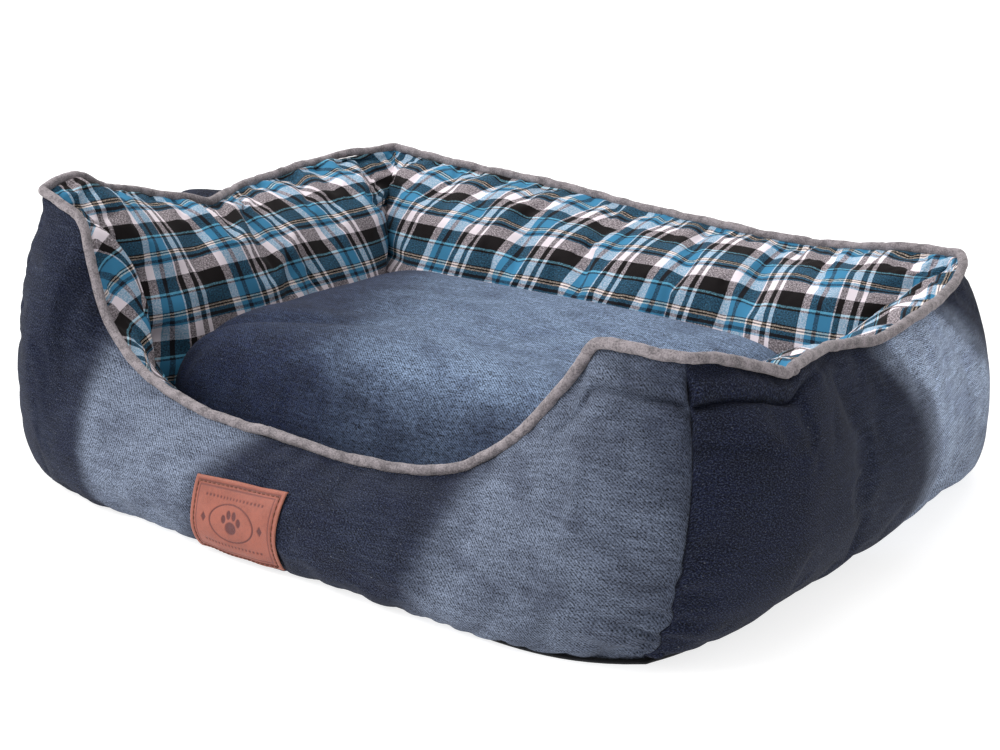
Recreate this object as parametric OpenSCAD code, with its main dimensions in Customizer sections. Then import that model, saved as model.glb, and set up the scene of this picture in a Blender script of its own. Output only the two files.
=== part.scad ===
// Bolster bed for a small dog or cat: four stuffed walls round a padded floor, with a loose cushion.
// Origin: centre of the footprint on the floor. +X runs along the front, the low step-in faces -Y, +Z is up.

/* [Wall ring] */
// Length of the top seam between its corners
ring_length = 554; // [500:1:640]
// Width of the top seam between its corners
ring_width = 394; // [370:1:460]
// Height of the top seam along the tall walls
wall_height = 180; // [160:1:210]
// Height of the top seam at the front step-in
step_height = 72; // [66:1:90]
// Diameter of the piping along the top seam
piping_d = 9.2; // [7:0.1:10]
// Diameter of the filler cord inside the piping
cord_d = 5; // [3:0.1:6]

/* [Cloth] */
// Thickness of the wall panels
panel_t = 1.2; // [0.8:0.1:1.5]
// Thickness of the base cloth under the bed
base_t = 1.5; // [1:0.1:2]
// Thickness of the wadding in the floor
wadding_t = 5; // [3:0.5:6]
// Thickness of the floor lining
lining_t = 0.8; // [0.5:0.1:1]

/* [Cushion] */
// Room left between the cushion and the walls on each side
cushion_room = 3.5; // [2:0.5:8]
// Height of the seam between the cushion's two covers
cushion_seam_z = 46; // [40:1:52]
// Rise of the cushion's crown above its seam
cushion_crown = 70; // [50:1:75]
// Thickness of the cushion's covers
cover_t = 1.2; // [0.8:0.1:1.5]

/* [Zip] */
// Length of the zip in the cushion's rear side
zip_length = 244; // [160:4:252]
// Width of one zip tape
tape_w = 9; // [7:0.5:10]

/* [Patch] */
// Width of the leather patch on the front wall
patch_w = 75; // [50:1:90]
// Thickness of the leather
patch_t = 1.6; // [1:0.1:2]
// Length of one stitch
stitch_l = 3; // [2:0.1:4]

/* [Hidden] */

gap = 0.4;                // free space between neighbouring soft pieces
hem = 1;                  // height of the outer panels' lower edge
floor_top = base_t + wadding_t + lining_t + 2 * gap;
inner_foot_z = floor_top + gap;
corner_power = 7;         // how tightly a wall keeps its own section before it turns the corner
wall_end = 0.998;         // the walls stop just short of the corner seam

FRONT = 0;
RIGHT = 1;
BACK = 2;
LEFT = 3;
// Corners are numbered front left, front right, back right, back left, so wall k runs from corner k
// to corner k + 1. A wall's own axes are u along it, v outward and z up.

// Top seam of each wall, as [place along the wall from -1 to 1, how far it bows out in mm,
// height from 0 at the step-in to 1 at the tall walls]
TOP = [
    [[-1, 0, 1.21], [-0.9, 3, 1.15], [-0.81, 3, 1], [-0.775, 4, 0.72], [-0.72, 7, 0.41], [-0.56, 14, 0.19],
     [-0.33, 22, 0.04], [-0.04, 24, 0], [0.22, 22, 0.03], [0.42, 15, 0.09], [0.54, 10, 0.23],
     [0.64, 6, 0.49], [0.72, 3, 0.77], [0.8, 3, 0.96], [0.87, 3, 1], [1, 0, 0.99]],
    [[-1, 0, 0.99], [-0.87, 9, 0.94], [-0.63, 22, 0.78], [-0.43, 17, 0.76], [-0.24, 11, 0.8],
     [0, 18, 0.72], [0.28, 19, 0.79], [0.66, 9, 0.83], [1, 0, 0.91]],
    [[-1, 0, 0.91], [-0.83, 1, 0.87], [-0.52, 2, 0.79], [-0.22, 2, 0.82], [0.14, 7, 0.86],
     [0.35, 7, 0.91], [0.66, 3, 0.96], [0.87, 1, 1], [1, 0, 1.04]],
    [[-1, 0, 1.04], [-0.71, 14, 1.03], [-0.38, 23, 1], [-0.08, 13, 0.98], [0.21, -12, 0.91],
     [0.32, -9, 0.94], [0.47, 5, 1.02], [0.76, 7, 1.15], [1, 0, 1.21]],
];
columns_per_knot = [3, 2, 2, 2];

// Offsets in mm from the top ring's straight sides, for each wall: foot of the outer panel, belly
// beyond the foot, inner bulge and inner foot
foot_out = [52, 5, 41, 1];
belly_out = [28, 40, 63, 36];
bulge_in = [29, 64, 75, 64];
floor_in = [27, 55, 63, 55];
// The same for each corner, along X and Y
corner_foot = [[-14, 12], [-7, 19], [-7, 19], [-7, 19]];
corner_belly = [[4, 38], [25, 51], [20, 48], [10, 44]];
corner_crease = [[39, 35], [39, 35], [39, 57], [31, 63]];
corner_shoulder = [18, 32];
shoulder_drop = 72;
// Upper handle of the outer curve: outward and down, on a tall wall and at the step-in
tall_handle = [58, -58];
step_handle = [54, -8];
lip_in = [34, 16];        // how far the inner curve's first handle goes in, mid wall and corner
lip_up = [6, -2];
bulge_handle = 14;        // how far the inner curve's second handle stands beyond the bulge
bulge_share = [0.62, 0.75]; // height of that handle as a share of the seam's, tall wall and step-in
crease_tuck = 3;          // how far the inner foot turns in at the corners
// A wall counts as low below the first of these heights, fully so by the second
low_from = 150;
low_to = 75;

OUTER = 0;
INNER = 1;
// Rows of points up each face. The cloth stops short of the piping, and the stuffing a little lower.
outer_filling_rows = [0, 0.12, 0.3, 0.5, 0.7, 0.85, 0.94];
inner_filling_rows = [0.1, 0.2, 0.34, 0.5, 0.68, 0.86, 1];
outer_rows = concat(outer_filling_rows, [0.965]);
inner_rows = concat([0.05], inner_filling_rows);

function lerp(a, b, t) = a + (b - a) * t;
function clamp01(x) = max(0, min(1, x));
function unit(v) = v / norm(v);
function bezier(p, t) = let(s = 1 - t)
    s * s * s * p[0] + 3 * s * s * t * p[1] + 3 * s * t * t * p[2] + t * t * t * p[3];

// Smooth curve through a list's points: column j at place x
function knot(list, x, i = 0) = (i >= len(list) - 2 || x < list[i + 1][0]) ? i : knot(list, x, i + 1);
function slope(list, i, j) = let(a = max(i - 1, 0), b = min(i + 1, len(list) - 1))
    (list[b][j] - list[a][j]) / (list[b][0] - list[a][0]);
function along(list, x, j) = let(
    i = knot(list, x), a = list[i], b = list[i + 1], w = b[0] - a[0], t = (x - a[0]) / w)
    (2 * t^3 - 3 * t^2 + 1) * a[j] + (t^3 - 2 * t^2 + t) * w * slope(list, i, j)
    + (-2 * t^3 + 3 * t^2) * b[j] + (t^3 - t^2) * w * slope(list, i + 1, j);

function half_u(k) = (k % 2 == 0 ? ring_length : ring_width) / 2;
function half_v(k) = (k % 2 == 0 ? ring_width : ring_length) / 2;
function own(k, p) = k % 2 == 0 ? p : [p[1], p[0]];
function corner_of(k, s) = s < 0 ? k : (k + 1) % 4;
function turn(s) = pow(abs(s), corner_power);
function low(k, z) = k == FRONT ? clamp01((low_from - z) / (low_from - low_to)) : 0;

// Wall frame to bed frame
function place(k, p) =
    k == FRONT ? [p[0], -p[1], p[2]] :
    k == RIGHT ? [p[1], p[0], p[2]] :
    k == BACK ? [-p[0], p[1], p[2]] : [-p[1], -p[0], p[2]];

function top_seam(k, s) =
    [s * half_u(k), half_v(k) + along(TOP[k], s, 1), lerp(step_height, wall_height, along(TOP[k], s, 2))];

// Outer face from the foot at t = 0 to the top seam at t = 1
function outer_face(k, s, t) = let(
    g = turn(s), c = corner_of(k, s), p = top_seam(k, s), l = low(k, p[2]),
    foot = own(k, corner_foot[c]), belly = own(k, corner_belly[c]), shoulder = own(k, corner_shoulder),
    handle = lerp(tall_handle, step_handle, l))
    bezier([
        [s * (half_u(k) + foot[0]), half_v(k) + lerp(foot_out[k], foot[1], g), hem],
        [s * (half_u(k) + belly[0]), half_v(k) + lerp(foot_out[k] + belly_out[k], belly[1], g), hem],
        [p[0] + s * shoulder[0], p[1] + lerp(handle[0], shoulder[1], g), p[2] + lerp(handle[1], -shoulder_drop, g)],
        p], t);

// Inner face from the top seam at t = 0 to the floor at t = 1
function inner_face(k, s, t) = let(
    g = turn(s), p = top_seam(k, s), l = low(k, p[2]), crease = own(k, corner_crease[corner_of(k, s)]),
    u = half_u(k) - crease[0], v = half_v(k) - crease[1])
    bezier([
        p,
        [p[0] - s * lip_in[1] * g, p[1] - lerp(lip_in[0], lip_in[1], g), p[2] + lerp(lip_up[0], lip_up[1], g)],
        [s * u, lerp(half_v(k) - bulge_in[k] - bulge_handle, v, g), p[2] * lerp(bulge_share[0], bulge_share[1], l)],
        [s * (u + crease_tuck * g), lerp(half_v(k) - floor_in[k], v + crease_tuck, g), inner_foot_z]], t);

function face(k, s, t, side) = side == OUTER ? outer_face(k, s, t) : inner_face(k, s, t);
function outward(s) = unit([sign(s) * turn(s), 1, 0]);
// Direction out of a face, square to it, in the plane of the wall's section
function normal(k, s, t, side) = let(
    e = outward(s), step = 0.01,
    d = face(k, s, min(t + step, 1), side) - face(k, s, max(t - step, 0), side))
    unit([e[0] * d[2], e[1] * d[2], -(d * e)]);
// Direction square to the inner face, which turns sharply at the corners
function inner_normal(k, s, t) = let(
    step = 0.004,
    ds = inner_face(k, min(s + step, 1), t) - inner_face(k, max(s - step, -1), t),
    dt = inner_face(k, s, min(t + step, 1)) - inner_face(k, s, max(t - step, 0)))
    unit(cross(dt, ds));
// A face moved out by d; the corner seams of the outer faces are mitred
function shifted(k, s, t, side, d) = face(k, s, t, side) + d * (side == OUTER
    ? lerp(1, sqrt(2), turn(s)) * normal(k, s, t, OUTER)
    : inner_normal(k, s, t));

// Places along a wall where it has a section, closer together where its top seam bends
function columns(k) = let(list = TOP[k], m = columns_per_knot[k], last = len(list) - 1)
    [for (i = [0:last - 1], j = [0:m - 1]) lerp(list[i][0], list[i + 1][0], j / m), list[last][0]];
function wall_columns(k) = [for (s = columns(k)) s * wall_end];

// Faces that skin a stack of rings with n points each; ends are closed by a ladder of strips that
// joins opposite points, or by a fan to a centre point, or the stack is a loop
function side_faces(m, n, loop, other_diagonal = false) = [
    for (i = [0:m - (loop ? 1 : 2)], j = [0:n - 1])
        let(a = i * n, b = ((i + 1) % m) * n, j2 = (j + 1) % n)
        each other_diagonal
            ? [[a + j, a + j2, b + j], [a + j2, b + j2, b + j]]
            : [[a + j, a + j2, b + j2], [a + j, b + j2, b + j]]];
function ladder(a, n, flip) = [
    for (j = [0:n / 2 - 2])
        let(p = a + j, q = a + j + 1, r = a + n - 2 - j, s = a + n - 1 - j)
        each flip ? [[p, q, r], [p, r, s]] : [[p, r, q], [p, s, r]]];
module skin_ladder(rings, other_diagonal = false) {
    n = len(rings[0]);
    m = len(rings);
    polyhedron([for (r = rings) each r],
        concat(side_faces(m, n, false, other_diagonal), ladder(0, n, false), ladder((m - 1) * n, n, true)));
}
module skin_fan(rings) {
    n = len(rings[0]);
    m = len(rings);
    first = [for (i = [0:2]) [for (p = rings[0]) p[i]] * [for (p = rings[0]) 1] / n];
    last = [for (i = [0:2]) [for (p = rings[m - 1]) p[i]] * [for (p = rings[m - 1]) 1] / n];
    polyhedron(concat([for (r = rings) each r], [first, last]),
        concat(side_faces(m, n, false),
            [for (j = [0:n - 1]) [m * n, (j + 1) % n, j]],
            [for (j = [0:n - 1]) [m * n + 1, (m - 1) * n + j, (m - 1) * n + (j + 1) % n]]));
}
module skin_loop(rings) {
    polyhedron([for (r = rings) each r], side_faces(len(rings), len(rings[0]), true));
}

// One cloth panel of a wall: its outer face and the same face moved in by the cloth's thickness
module panel(k, side) {
    rows = side == OUTER ? outer_rows : inner_rows;
    last = len(rows) - 1;
    skin_ladder([for (s = wall_columns(k)) concat(
        [for (t = rows) place(k, face(k, s, t, side))],
        [for (i = [last:-1:0]) place(k, shifted(k, s, rows[i], side, -panel_t))])]);
}

// Stuffing of one wall, flat underneath. Its faces split along the same diagonals as the inside of
// the panels, so that it stays clear of them.
filling_room = 0.9;
foot_tuck = 3;            // how far its outer foot stands in from the panel
module filling(k) {
    d = -panel_t - filling_room;
    bottom = base_t + gap;
    skin_ladder([for (s = wall_columns(k)) let(
        outer = [for (t = outer_filling_rows) shifted(k, s, t, OUTER, d)],
        inner = [for (t = inner_filling_rows) shifted(k, s, t, INNER, d)],
        out_foot = outer[0] - foot_tuck * outward(s),
        in_foot = inner[len(inner) - 1])
        [for (p = concat([[out_foot[0], out_foot[1], bottom]], outer, inner, [[in_foot[0], in_foot[1], bottom]]))
            place(k, p)]], true);
}

// Outlines of the foot of the walls, outside and inside, moved out by d
function foot_outline(side, t, d) = [
    for (k = [FRONT:LEFT], s = wall_columns(k))
        let(p = place(k, face(k, s, t, side) + d * outward(s))) [p[0], p[1]]];

base_inset = 1.5;         // the layers of the floor stop this far inside the walls' feet
wadding_inset = 1;
lining_inset = 0.5;
module base_cloth() {
    color("#17181b") linear_extrude(base_t) polygon(foot_outline(OUTER, 0, -base_inset));
}
module floor_wadding() {
    color("#e9e7e1") translate([0, 0, base_t + gap]) linear_extrude(wadding_t)
        polygon(foot_outline(INNER, 1, -wadding_inset));
}
module floor_lining() {
    color("#3a3f4a") translate([0, 0, floor_top - lining_t]) linear_extrude(lining_t)
        polygon(foot_outline(INNER, 1, -lining_inset));
}

module front_outer_panel() { color("#3d5372") panel(FRONT, OUTER); }
module right_outer_panel() { color("#33415c") panel(RIGHT, OUTER); }
module back_outer_panel() { color("#33415c") panel(BACK, OUTER); }
module left_outer_panel() { color("#33415c") panel(LEFT, OUTER); }
module front_inner_panel() { color("#2e7da3") panel(FRONT, INNER); }
module right_inner_panel() { color("#2e7da3") panel(RIGHT, INNER); }
module back_inner_panel() { color("#2e7da3") panel(BACK, INNER); }
module left_inner_panel() { color("#2e7da3") panel(LEFT, INNER); }
module front_filling() { color("#f2f0ea") filling(FRONT); }
module right_filling() { color("#f2f0ea") filling(RIGHT); }
module back_filling() { color("#f2f0ea") filling(BACK); }
module left_filling() { color("#f2f0ea") filling(LEFT); }

// Piping: a tube whose centre stands clear above the top seam, and its corner rings are mitred
piping_lift = 3.4;
piping_sides = 8;
function seam_normal(k, s) = unit(normal(k, s, 1, OUTER) + normal(k, s, 0, INNER));
// The same, square to the seam where it climbs
function seam_rise(k, s) = let(
    step = 0.004, n = seam_normal(k, s),
    d = unit(top_seam(k, min(s + step, 1)) - top_seam(k, max(s - step, -1))))
    unit(n - (n * d) * d);
function piping_path() = [
    for (k = [FRONT:LEFT], c = [for (s = columns(k)) if (s < 1) s])
        [place(k, top_seam(k, c) + piping_lift * seam_rise(k, c)),
         place(k, outward(c))]];
function ring_at(path, i, r) = let(
    n = len(path), p = path[i][0],
    along = unit(path[(i + 1) % n][0] - path[(i + n - 1) % n][0]),
    side = unit(path[i][1] - (path[i][1] * along) * along),
    up = cross(along, side))
    [for (j = [0:piping_sides - 1]) let(a = 360 * j / piping_sides) p + r * (cos(a) * side - sin(a) * up)];

module piping_cover() {
    path = piping_path();
    color("#8a8888") difference() {
        skin_loop([for (i = [0:len(path) - 1]) ring_at(path, i, piping_d / 2)]);
        skin_loop([for (i = [0:len(path) - 1]) ring_at(path, i, cord_d / 2 + gap)]);
    }
}
module piping_cord() {
    path = piping_path();
    color("#dedbd4") skin_loop([for (i = [0:len(path) - 1]) ring_at(path, i, cord_d / 2)]);
}

// Leather patch, wrapped over the front wall
patch_centre = -0.028;
patch_foot = 0.16;        // the part of the outer face's rise that the patch covers
patch_head = 0.69;
patch_cells = 8;
patch_rows = [for (i = [0:patch_cells]) lerp(patch_foot, patch_head, i / patch_cells)];
patch_columns = [for (i = [0:patch_cells])
    patch_centre + lerp(-0.5, 0.5, i / patch_cells) * patch_w / half_u(FRONT)];
module leather_patch() {
    color("#b4664a") skin_ladder([for (s = patch_columns) concat(
        [for (t = patch_rows) place(FRONT, shifted(FRONT, s, t, OUTER, gap + patch_t))],
        [for (i = [patch_cells:-1:0]) place(FRONT, shifted(FRONT, s, patch_rows[i], OUTER, gap))])]);
}

// Thread along the patch's edge, one small square bar for each stitch that shows
thread_d = 0.7;
stitch_margin = 3.5;
stitch_pitch = 5.2;
stitches_across = floor((patch_w - 2 * stitch_margin) / stitch_pitch);
stitches_up = 10;
stitch_inset = 0.03;      // the margin again, as a part of the outer face's rise
stitch_lift = 0.15;
function on_patch(x, y) = let(m = stitch_margin / patch_w, w = 0.5 - m) place(FRONT, shifted(FRONT,
    patch_centre + lerp(-w, w, x) * patch_w / half_u(FRONT),
    lerp(patch_foot + stitch_inset, patch_head - stitch_inset, y),
    OUTER, gap + patch_t + thread_d / 2 + stitch_lift));
module stitch(a, b) {
    mid = (a + b) / 2;
    along = unit(b - a);
    side = unit(cross(along, [0, 1, 0]));
    up = cross(along, side);
    ring = [for (q = [[-1, -1], [-1, 1], [1, 1], [1, -1]]) thread_d / 2 * (q[0] * side + q[1] * up)];
    skin_ladder([for (e = [-1, 1]) [for (r = ring) mid + e * stitch_l / 2 * along + r]]);
}
module patch_stitching() {
    color("#5b2f22") {
        for (i = [0:stitches_across - 1], y = [0, 1])
            stitch(on_patch(i / stitches_across, y), on_patch((i + 1) / stitches_across, y));
        for (i = [0:stitches_up - 1], x = [0, 1])
            stitch(on_patch(x, i / stitches_up), on_patch(x, (i + 1) / stitches_up));
    }
}

// Cushion: a squarish plan and a crowned top, so its sides stand nearly upright at the seam. The
// narrowest place between the walls was measured on their inner faces, so it follows bulge_in.
measured_past_bulge = [-3.5, 2.5, 5.5]; // front, right and left, back
narrowest_x = half_v(RIGHT) - bulge_in[RIGHT] + measured_past_bulge[1];
narrowest_front = half_v(FRONT) - bulge_in[FRONT] + measured_past_bulge[0];
narrowest_back = half_v(BACK) - bulge_in[BACK] + measured_past_bulge[2];
zip_room = 3;
cushion_hx = narrowest_x - cushion_room;
cushion_front = narrowest_front - cushion_room;
cushion_back = narrowest_back - cushion_room - zip_room;
cushion_hy = (cushion_front + cushion_back) / 2;
cushion_y = (cushion_back - cushion_front) / 2;
cushion_sides = 40;
squareness = 8;
crown_power = 7;
cushion_rings = [0.3, 0.6, 0.8, 0.91, 0.97, 1];
cushion_drop = cushion_seam_z - floor_top - gap;
function squash(x) = sign(x) * pow(abs(x), 2 / squareness);
function cushion_ring(r, z, inset) = [
    for (i = [0:cushion_sides - 1]) let(a = 360 * i / cushion_sides)
        [(cushion_hx - inset) * r * squash(cos(a)),
         cushion_y + (cushion_hy - inset) * r * squash(sin(a)),
         z]];
function crown(r) = sqrt(max(0, 1 - pow(r, crown_power)));
// Rings of one half, from the middle to the seam: rise is signed, and inset moves the skin inward
function half_rings(rise, seam_gap, inset) = [
    for (r = cushion_rings)
        cushion_ring(r, cushion_seam_z + sign(rise) * (seam_gap + (abs(rise) - inset - seam_gap) * crown(r)), inset)];
function backwards(list) = [for (i = [len(list) - 1:-1:0]) list[i]];
module cover(rise) {
    rings = concat(half_rings(rise, gap / 2, 0), backwards(half_rings(rise, gap / 2, cover_t)));
    skin_fan(rise > 0 ? rings : backwards(rings));
}
module cushion_top_cover() { color("#3f5679") cover(cushion_crown); }
module cushion_bottom_cover() { color("#33415c") cover(-cushion_drop); }
module cushion_filling() {
    inset = cover_t + gap;
    color("#f2f0ea") skin_fan(concat(
        half_rings(cushion_crown, gap, inset), backwards(half_rings(-cushion_drop, gap, inset))));
}

// Zip across the cushion's rear seam: flat tapes, a joined coil, end stops and a slider over them
zip_y = cushion_back + gap;
tape_t = 0.7;
coil_w = 3.6;
coil_t = 1.5;
coil_pitch = 4;
stop_l = 2.4;
slider_l = 9;
slider_w = 7;
slider_t = 0.9;
running = 0.35;           // clearance round the coil inside the slider
coil_y = zip_y + tape_t + 0.15;
coil_end = zip_length / 2 - stop_l - 1;
slider_x = coil_end - slider_l / 2 - 0.5;
module zip_bar(l, w, t, x, y, z) { translate([x - l / 2, y, z - w / 2]) cube([l, t, w]); }
module zip_tapes() {
    color("#27324a") for (e = [-1, 1])
        zip_bar(zip_length, tape_w, tape_t, 0, zip_y, cushion_seam_z + e * (tape_w / 2 + 0.3));
}
module zip_coil() {
    teeth = floor((2 * coil_end - 2) / coil_pitch);
    color("#202a40") {
        zip_bar(2 * coil_end, 1.4, coil_t, 0, coil_y, cushion_seam_z);
        for (i = [0:teeth])
            zip_bar(coil_pitch / 2, coil_w, coil_t, (i - teeth / 2) * coil_pitch, coil_y, cushion_seam_z);
    }
}
module zip_stops() {
    color("#b9b9bd") for (e = [-1, 1])
        zip_bar(stop_l, coil_w, coil_t, e * (coil_end + gap + stop_l / 2), coil_y, cushion_seam_z);
}
module zip_slider() {
    inner_w = coil_w + 2 * running;
    roof_y = coil_y + coil_t + running;
    color("#a9abb0") difference() {
        zip_bar(slider_l, slider_w, roof_y + slider_t - coil_y, slider_x, coil_y, cushion_seam_z);
        zip_bar(slider_l + 2, inner_w, roof_y - coil_y + 1, slider_x, coil_y - 1, cushion_seam_z);
    }
}

base_cloth();
floor_wadding();
floor_lining();
front_outer_panel();
right_outer_panel();
back_outer_panel();
left_outer_panel();
front_inner_panel();
right_inner_panel();
back_inner_panel();
left_inner_panel();
front_filling();
right_filling();
back_filling();
left_filling();
piping_cover();
piping_cord();
leather_patch();
patch_stitching();
cushion_top_cover();
cushion_bottom_cover();
cushion_filling();
zip_tapes();
zip_coil();
zip_stops();
zip_slider();
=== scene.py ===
import math
import bpy
import numpy as np
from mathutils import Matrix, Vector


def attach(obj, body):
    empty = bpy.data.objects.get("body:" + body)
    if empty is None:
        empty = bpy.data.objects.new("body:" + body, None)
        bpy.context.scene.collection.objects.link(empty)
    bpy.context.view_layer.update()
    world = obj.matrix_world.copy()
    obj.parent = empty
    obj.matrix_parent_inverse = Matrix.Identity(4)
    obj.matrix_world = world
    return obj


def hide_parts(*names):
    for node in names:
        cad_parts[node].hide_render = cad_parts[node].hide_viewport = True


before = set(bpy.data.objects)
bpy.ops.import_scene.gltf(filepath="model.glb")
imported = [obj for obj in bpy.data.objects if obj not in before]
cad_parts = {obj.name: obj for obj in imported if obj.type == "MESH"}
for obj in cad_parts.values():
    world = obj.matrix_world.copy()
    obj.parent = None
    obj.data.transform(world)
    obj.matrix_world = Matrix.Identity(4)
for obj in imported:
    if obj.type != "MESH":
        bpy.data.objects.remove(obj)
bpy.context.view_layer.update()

# ---------------------------------------------------------------- sizes, in metres
MM = .001
RING_LENGTH = .554
RING_WIDTH = .394
WALL_HEIGHT = .180
STEP_HEIGHT = .072
HEM = .001
FLOOR_FOOT = .0085
CORNER_POWER = 7
PANEL_T = .0012
# Share of a lining's thickness that is left at the top seam, and how soon it is whole again
SEAM_T_SHARE = .3
SEAM_T_REACH = .008
STUFFING_INSET = PANEL_T + .0048
BASE_T = .0015
WADDING_T = .005
LINING_T = .0008
GAP = .0004
PIPING_R = .0037
PIPING_LIFT = .0027
PIPING_STEP = .0018
PIPING_SIDES = 22
CORD_R = .0025
# Place along the right wall where the two ends of the piping meet
JOINT_S = -.60

WALLS = range(4)
FRONT, RIGHT, BACK, LEFT = WALLS
WALL_NAMES = ["front", "right", "back", "left"]
OUTER, INNER = "outer", "inner"

# Top seam of each wall: place along it from -1 to 1, how far it bows out in mm, height from 0 to 1
TOP = [
    [(-1, 0, 1.18), (-.9, 3, 1.13), (-.81, 3, 1), (-.775, 4, .72), (-.72, 7, .41), (-.56, 14, .14),
     (-.33, 22, .03), (-.04, 24, .01), (.22, 22, 0), (.42, 15, .05), (.54, 10, .195),
     (.64, 6, .43), (.72, 3, .68), (.765, 3, .83), (.795, 3, .95), (.87, 3, .968), (1, 0, .97)],
    [(-1, 0, .97), (-.87, 9, .925), (-.66, 21, .785), (-.61, 22, .765), (-.55, 21, .79), (-.43, 18, .78),
     (-.24, 12, .745), (0, 18, .695), (.28, 19, .735), (.66, 9, .755), (.88, 4, .83), (1, 0, .865)],
    [(-1, 0, .865), (-.83, 1, .835), (-.52, 2, .755), (-.22, 2, .78), (.14, 7, .825),
     (.35, 7, .875), (.66, 3, .925), (.87, 1, .965), (1, 0, 1)],
    [(-1, 0, 1), (-.71, 14, .985), (-.38, 23, .925), (-.08, 13, .905), (.21, -12, .89),
     (.32, -9, .95), (.47, 5, 1.02), (.6, 7, 1.07), (.7, 5, 1.13), (.79, 4, 1.21), (.89, 2, 1.225),
     (1, 0, 1.18)],
]
# Offsets in mm from the ring's straight sides, for each wall, then for each corner along X and Y
FOOT_OUT = [52, 5, 41, 1]
BELLY_OUT = [28, 40, 63, 36]
BULGE_IN = [43, 78, 89, 78]
FLOOR_IN = [27, 55, 63, 55]
CORNER_FOOT = [(-14, 12), (-10, 19), (-7, 19), (-7, 19)]
CORNER_BELLY = [(4, 38), (24, 49), (14, 42), (10, 44)]
CORNER_CREASE = [(39, 35), (39, 35), (39, 57), (31, 63)]
CORNER_SHOULDER = [(18, 32), (36, 18), (16, 28), (18, 32)]
CORNER_PULL = [(5, 0), (0, 0), (10, 10), (0, 0)]
# The section's upper handle, out and up from the seam, where the wall is high and where it is low
HANDLE_OUT = (.058, .054)
HANDLE_UP = (-.058, -.008)
CORNER_HANDLE_UP = -.072
# The wall counts as high above the first of these heights and as low under the second
LOW_BETWEEN = (.150, .075)
# How much flatter the right wall's belly and shoulder are towards the back
RIGHT_FLATTER = (.010, .018)
# How far the lining rolls in past the seam and rises, and at what share of the seam's height its lower
# handle sits: for each wall, and for the low stretch
ROLL_IN = [.034, .045, .052, .036]
ROLL_UP = [.006, .006, .004, .006]
ROLL_SHARE = [.62, .62, .72, .62]
LOW_ROLL_IN = .012
LOW_ROLL_UP = -.012
LOW_ROLL_SHARE = .75
CORNER_ROLL_IN = .016
CORNER_ROLL_UP = -.002
# The gathers pull the corner seams to and fro near the foot
SEAM_WAVE = .0022
SEAM_WAVE_T = .034

# Cloth panels: cells of the simulated grid and of the finished one
COARSE = .0055
FINE = .0021
# A wall's length with its folds, as a share of the ring's side, and the length of a section
LENGTH_SHARE = 1.12
SECTION = {OUTER: .26, INNER: .17}
SIM_FRAMES = 20
PRESSURE = 2.0
GROWTH = {OUTER: .010, INNER: .042}
# Swellings broader than this are in the shape already, and this share of them is taken out again
BROAD = .022
BROAD_LOSS = .85
# Sewn gathers at a face's seam, foot, left end and right end: spacing, depth, width, reach and lean
GATHERS = {
    OUTER: [(.028, .0010, .004, .022, .3), (.022, .0011, .0045, .022, .3),
            (.016, .0014, .0030, .024, .5), (.016, .0014, .0030, .024, .5)],
    INNER: [(.015, .0034, .0036, .036, .3), (.020, .0015, .004, .03, .3),
            (.016, .0018, .003, .03, .5), (.016, .0018, .003, .03, .5)],
}
BACK_SEAM_GATHERS = (.015, .0022, .0036, .036, .3)
# Lip at the front right corner: how far under the top seam it folds over, how much nearer to the seam the
# fold comes for each metre from the corner, how deep the cloth over it hangs, and where that starts and is
# whole, as distance from the corner with its sign turned
LIP = .0245
LIP_RISE = {FRONT: .02, RIGHT: .12}
LIP_DROOP = {FRONT: .0022, RIGHT: .0032}
LIP_DROOP_REACH = {FRONT: (-.130, -.035), RIGHT: (-.165, -.060)}
# The left wall's outside swells up beside its dip
SWELL = .034
SWELL_AT = .032
# For each lining: where a black square of the plaid has its upper corner along the wall, how much the
# cloth is spread beyond it, the corner's height, the slack under the top seam, and the lean of the
# warp at places along the wall
WEAVE = [
    (.020, 0, .075, 0, ([0, 1], [0, 0])),
    (.010, 0, .120, .010, ([0, 1], [-.1, -.1])),
    (-.0212, .09, .1268, .011, ([-.165, -.03, .19], [-.22, .265, .465])),
    (.0202, .07, .1230, .004, ([-.05, .15], [-.55, .20])),
]

# Leather patch: place along the front wall, size, rows on the wall, and how far it climbs to the right
PATCH_S = -.042
PATCH_WIDTH = .075
PATCH_T = .0016
PATCH_ROWS = (.15, .67)
PATCH_TILT = .055
STITCH_MARGIN = .0035
STITCH_PITCH = .0036
STITCH_LENGTH = .0026
STITCH_R = .00036

# Cushion: half its length and width, its middle along Y, its seam's height, and its rise and drop from it
CUSHION_X = .212
CUSHION_Y = .141
CUSHION_AT = -.020
CUSHION_SEAM = .046
CROWN = .070
DROP = .0375
SQUARENESS = 8
CROWN_POWER = 7
COVER_T = .0011
COVER_INSET = .0030

# Camera and light; the studio's soft light comes from the front left, above
CAMERA_AT = (.76757, -.99875, .45230)
CAMERA_AZIMUTH = 37.659
CAMERA_ELEVATION = 16.935
CAMERA_ROLL = .642
CAMERA_LENS = 63.79
SOFT_LIGHT_FROM = (-.80, -.50, .33)
SOFT_LIGHT_LOW = .28
SOFT_LIGHT_HIGH = 1.15
FLOOR_REACH = 8.0


# ---------------------------------------------------------------- surfaces of the walls
def lerp(a, b, t):
    return a + (b - a) * t


def smooth(x, low, high):
    """0 below low, 1 above high, and smooth between them"""
    t = np.clip((x - low) / (high - low), 0, 1)
    return t * t * (3 - 2 * t)


def unit(v):
    """vectors of length one"""
    return v / np.maximum(np.linalg.norm(v, axis=-1, keepdims=True), 1e-12)


def half_u(k):
    """half the length of the ring's side along wall k"""
    return (RING_LENGTH if k % 2 == 0 else RING_WIDTH) / 2


def half_v(k):
    """distance of wall k's side of the ring from the middle"""
    return (RING_WIDTH if k % 2 == 0 else RING_LENGTH) / 2


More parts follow.
